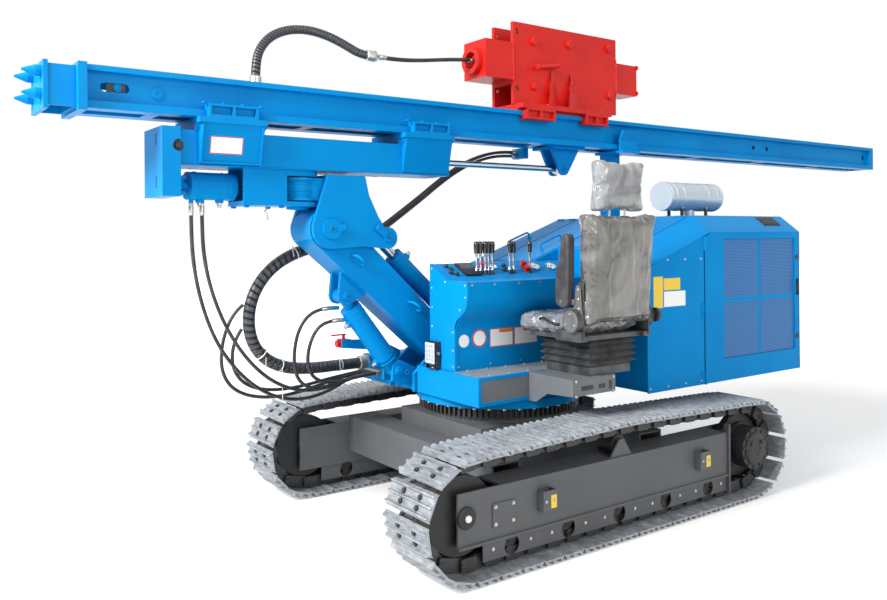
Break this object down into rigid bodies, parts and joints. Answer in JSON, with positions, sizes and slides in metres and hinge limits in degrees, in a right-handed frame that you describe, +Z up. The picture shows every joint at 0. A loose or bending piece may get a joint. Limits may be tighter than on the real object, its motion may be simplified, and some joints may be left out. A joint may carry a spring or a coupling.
{
  "type": "crawler pile driver",
  "caption": "Tracked solar pile driver: slewing deck with console and seat, engine housing, boom, and a long beam mast carrying a hydraulic hammer.",
  "frame": {"origin": "middle of the overall length and width, on the ground under the tracks", "axes": "+X towards the mast's foot, +Y the operator's side, +Z up"},
  "size_m": [7.353, 1.984, 2.993],
  "materials": {
    "blue_paint": "gloss",
    "dark_paint": "satin",
    "red_paint": "gloss",
    "grey_paint": "satin",
    "track_steel": "worn",
    "chrome_rod": "polished",
    "machined": "machined",
    "seat_vinyl": "covered in film",
    "black_plastic": "matte",
    "hose_rubber": "matte",
    "muffler_metal": "matte"
  },
  "bodies": {
    "undercarriage": {"track_left": "track_steel", "track_right": "track_steel", "track_frame_left": "dark_paint", "track_frame_right": "dark_paint", "bottom_rollers": "dark_paint", "carrier_rollers": "dark_paint", "idlers": "dark_paint", "sprockets_and_drives": "dark_paint", "cross_frame": "dark_paint", "slew_ring": "machined"},
    "upper": {"deck": "blue_paint", "boom_bracket": "blue_paint", "seat_arm": "grey_paint", "seat_base": "dark_paint", "seat_cushion": "seat_vinyl", "seat_back": "seat_vinyl", "headrest": "seat_vinyl", "armrests": "seat_vinyl", "console": "blue_paint", "levers": "black_plastic", "worklight": "black_plastic", "side_panel_left": "blue_paint", "side_panel_right": "blue_paint", "rear_panel": "blue_paint", "roof": "blue_paint", "front_wall": "blue_paint", "engine": "dark_paint", "muffler": "muffler_metal", "mast_rest": "blue_paint", "hose_swivel": "hose_rubber", "hose_branch": "hose_rubber", "hose_lift": "hose_rubber", "hose_bundle": "hose_rubber", "hose_feed": "hose_rubber", "valve_bracket": "blue_paint", "shut_off_valve": "red_paint"},
    "grille_door": {"grille_door": "blue_paint"},
    "hood_lid_far": {"hood_lid_far": "blue_paint"},
    "hood_lid_middle": {"hood_lid_middle": "blue_paint"},
    "hood_lid_near": {"hood_lid_near": "blue_paint"},
    "boom": {"boom": "blue_paint", "tilt_pin": "machined"},
    "lift_barrel": {"lift_barrel": "blue_paint"},
    "lift_rod": {"lift_rod": "chrome_rod"},
    "tilt_barrel": {"tilt_barrel": "blue_paint"},
    "tilt_rod": {"tilt_rod": "chrome_rod"},
    "head": {"head": "blue_paint", "head_pin": "machined"},
    "carrier": {"carrier": "blue_paint", "slide_barrel": "blue_paint"},
    "swivel_barrel": {"swivel_barrel": "blue_paint"},
    "swivel_rod": {"swivel_rod": "chrome_rod"},
    "mast": {"mast": "blue_paint", "mast_foot": "blue_paint", "slide_rod": "chrome_rod", "hose_upper": "hose_rubber"},
    "hammer": {"hammer_frame": "red_paint", "breaker": "red_paint"}
  },
  "joints": [
    {"name": "slew", "type": "hinge", "parent": "undercarriage", "child": "upper", "pos_m": [1.0635, 0, 0.634], "axis": [0, 0, 1], "continuous": true},
    {"name": "boom_lift", "type": "hinge", "parent": "upper", "child": "boom", "pos_m": [1.2535, -0.26, 0.838], "axis": [0, -1, 0], "range_deg": [0, 20], "deforming": ["hose_swivel", "hose_branch", "hose_lift", "hose_bundle", "hose_feed"]},
    {"name": "lift_barrel_turn", "type": "hinge", "parent": "upper", "child": "lift_barrel", "pos_m": [1.6545, -0.26, 0.806], "axis": [0, -1, 0], "range_deg": [0, 24.46]},
    {"name": "lift_rod_slide", "type": "slide", "parent": "lift_barrel", "child": "lift_rod", "axis": [0.6121, 0, 0.7908], "range_m": [0, 0.132]},
    {"name": "head_tilt", "type": "hinge", "parent": "boom", "child": "head", "pos_m": [2.14247, -0.26, 1.64407], "axis": [0, 1, 0], "range_deg": [0, 110], "deforming": ["hose_swivel", "hose_branch", "hose_lift", "hose_bundle", "hose_feed"]},
    {"name": "tilt_barrel_turn", "type": "hinge", "parent": "boom", "child": "tilt_barrel", "pos_m": [1.16927, -0.26, 1.04105], "axis": [0, -1, 0], "range_deg": [0, 3]},
    {"name": "tilt_rod_slide", "type": "slide", "parent": "tilt_barrel", "child": "tilt_rod", "axis": [0.7408, 0, 0.6717], "range_m": [0, 0.6055]},
    {"name": "mast_swivel", "type": "hinge", "parent": "head", "child": "carrier", "pos_m": [2.2785, -0.26, 1.868], "axis": [0, 0, 1], "range_deg": [0, 12], "deforming": ["hose_swivel", "hose_branch", "hose_lift", "hose_bundle", "hose_feed"]},
    {"name": "swivel_barrel_turn", "type": "hinge", "parent": "carrier", "child": "swivel_barrel", "pos_m": [2.9435, -0.26, 1.868], "axis": [0, 0, 1], "range_deg": [0, 3.19]},
    {"name": "swivel_rod_slide", "type": "slide", "parent": "swivel_barrel", "child": "swivel_rod", "axis": [-0.9973, -0.0736, 0], "range_m": [0, 0.015]},
    {"name": "mast_slide", "type": "slide", "parent": "carrier", "child": "mast", "axis": [1, 0, 0], "range_m": [0, 0.8], "deforming": ["hose_swivel", "hose_branch", "hose_lift", "hose_bundle", "hose_feed", "hose_upper"]},
    {"name": "hammer_slide", "type": "slide", "parent": "mast", "child": "hammer", "axis": [1, 0, 0], "range_m": [-3.2, 2.2], "deforming": ["hose_upper"]},
    {"name": "grille_door_turn", "type": "hinge", "parent": "upper", "child": "grille_door", "pos_m": [0.0125, 0.736, 1.14], "axis": [0, 0, -1], "range_deg": [0, 100]},
    {"name": "hood_lid_far_turn", "type": "hinge", "parent": "upper", "child": "hood_lid_far", "pos_m": [-0.0085, -0.49, 1.71029], "axis": [0, -1, 0], "range_deg": [0, 38]},
    {"name": "hood_lid_middle_turn", "type": "hinge", "parent": "upper", "child": "hood_lid_middle", "pos_m": [-0.0085, -0.2, 1.71029], "axis": [0, -1, 0], "range_deg": [0, 38]},
    {"name": "hood_lid_near_turn", "type": "hinge", "parent": "upper", "child": "hood_lid_near", "pos_m": [-0.0085, 0.304, 1.71029], "axis": [0, -1, 0], "range_deg": [0, 60]}
  ],
  "couplings": [
    {"joint": "boom_lift", "follows": "head_tilt", "ratio": 0.18182},
    {"joint": "lift_barrel_turn", "follows": "head_tilt", "ratio": 0.22236},
    {"joint": "lift_rod_slide", "follows": "head_tilt", "m_per_rad": 0.06801},
    {"joint": "tilt_barrel_turn", "follows": "head_tilt", "ratio": 0.027273},
    {"joint": "tilt_rod_slide", "follows": "head_tilt", "m_per_rad": 0.31513},
    {"joint": "swivel_barrel_turn", "follows": "mast_swivel", "ratio": 0.26516},
    {"joint": "swivel_rod_slide", "follows": "mast_swivel", "m_per_rad": 0.0678}
  ]
}
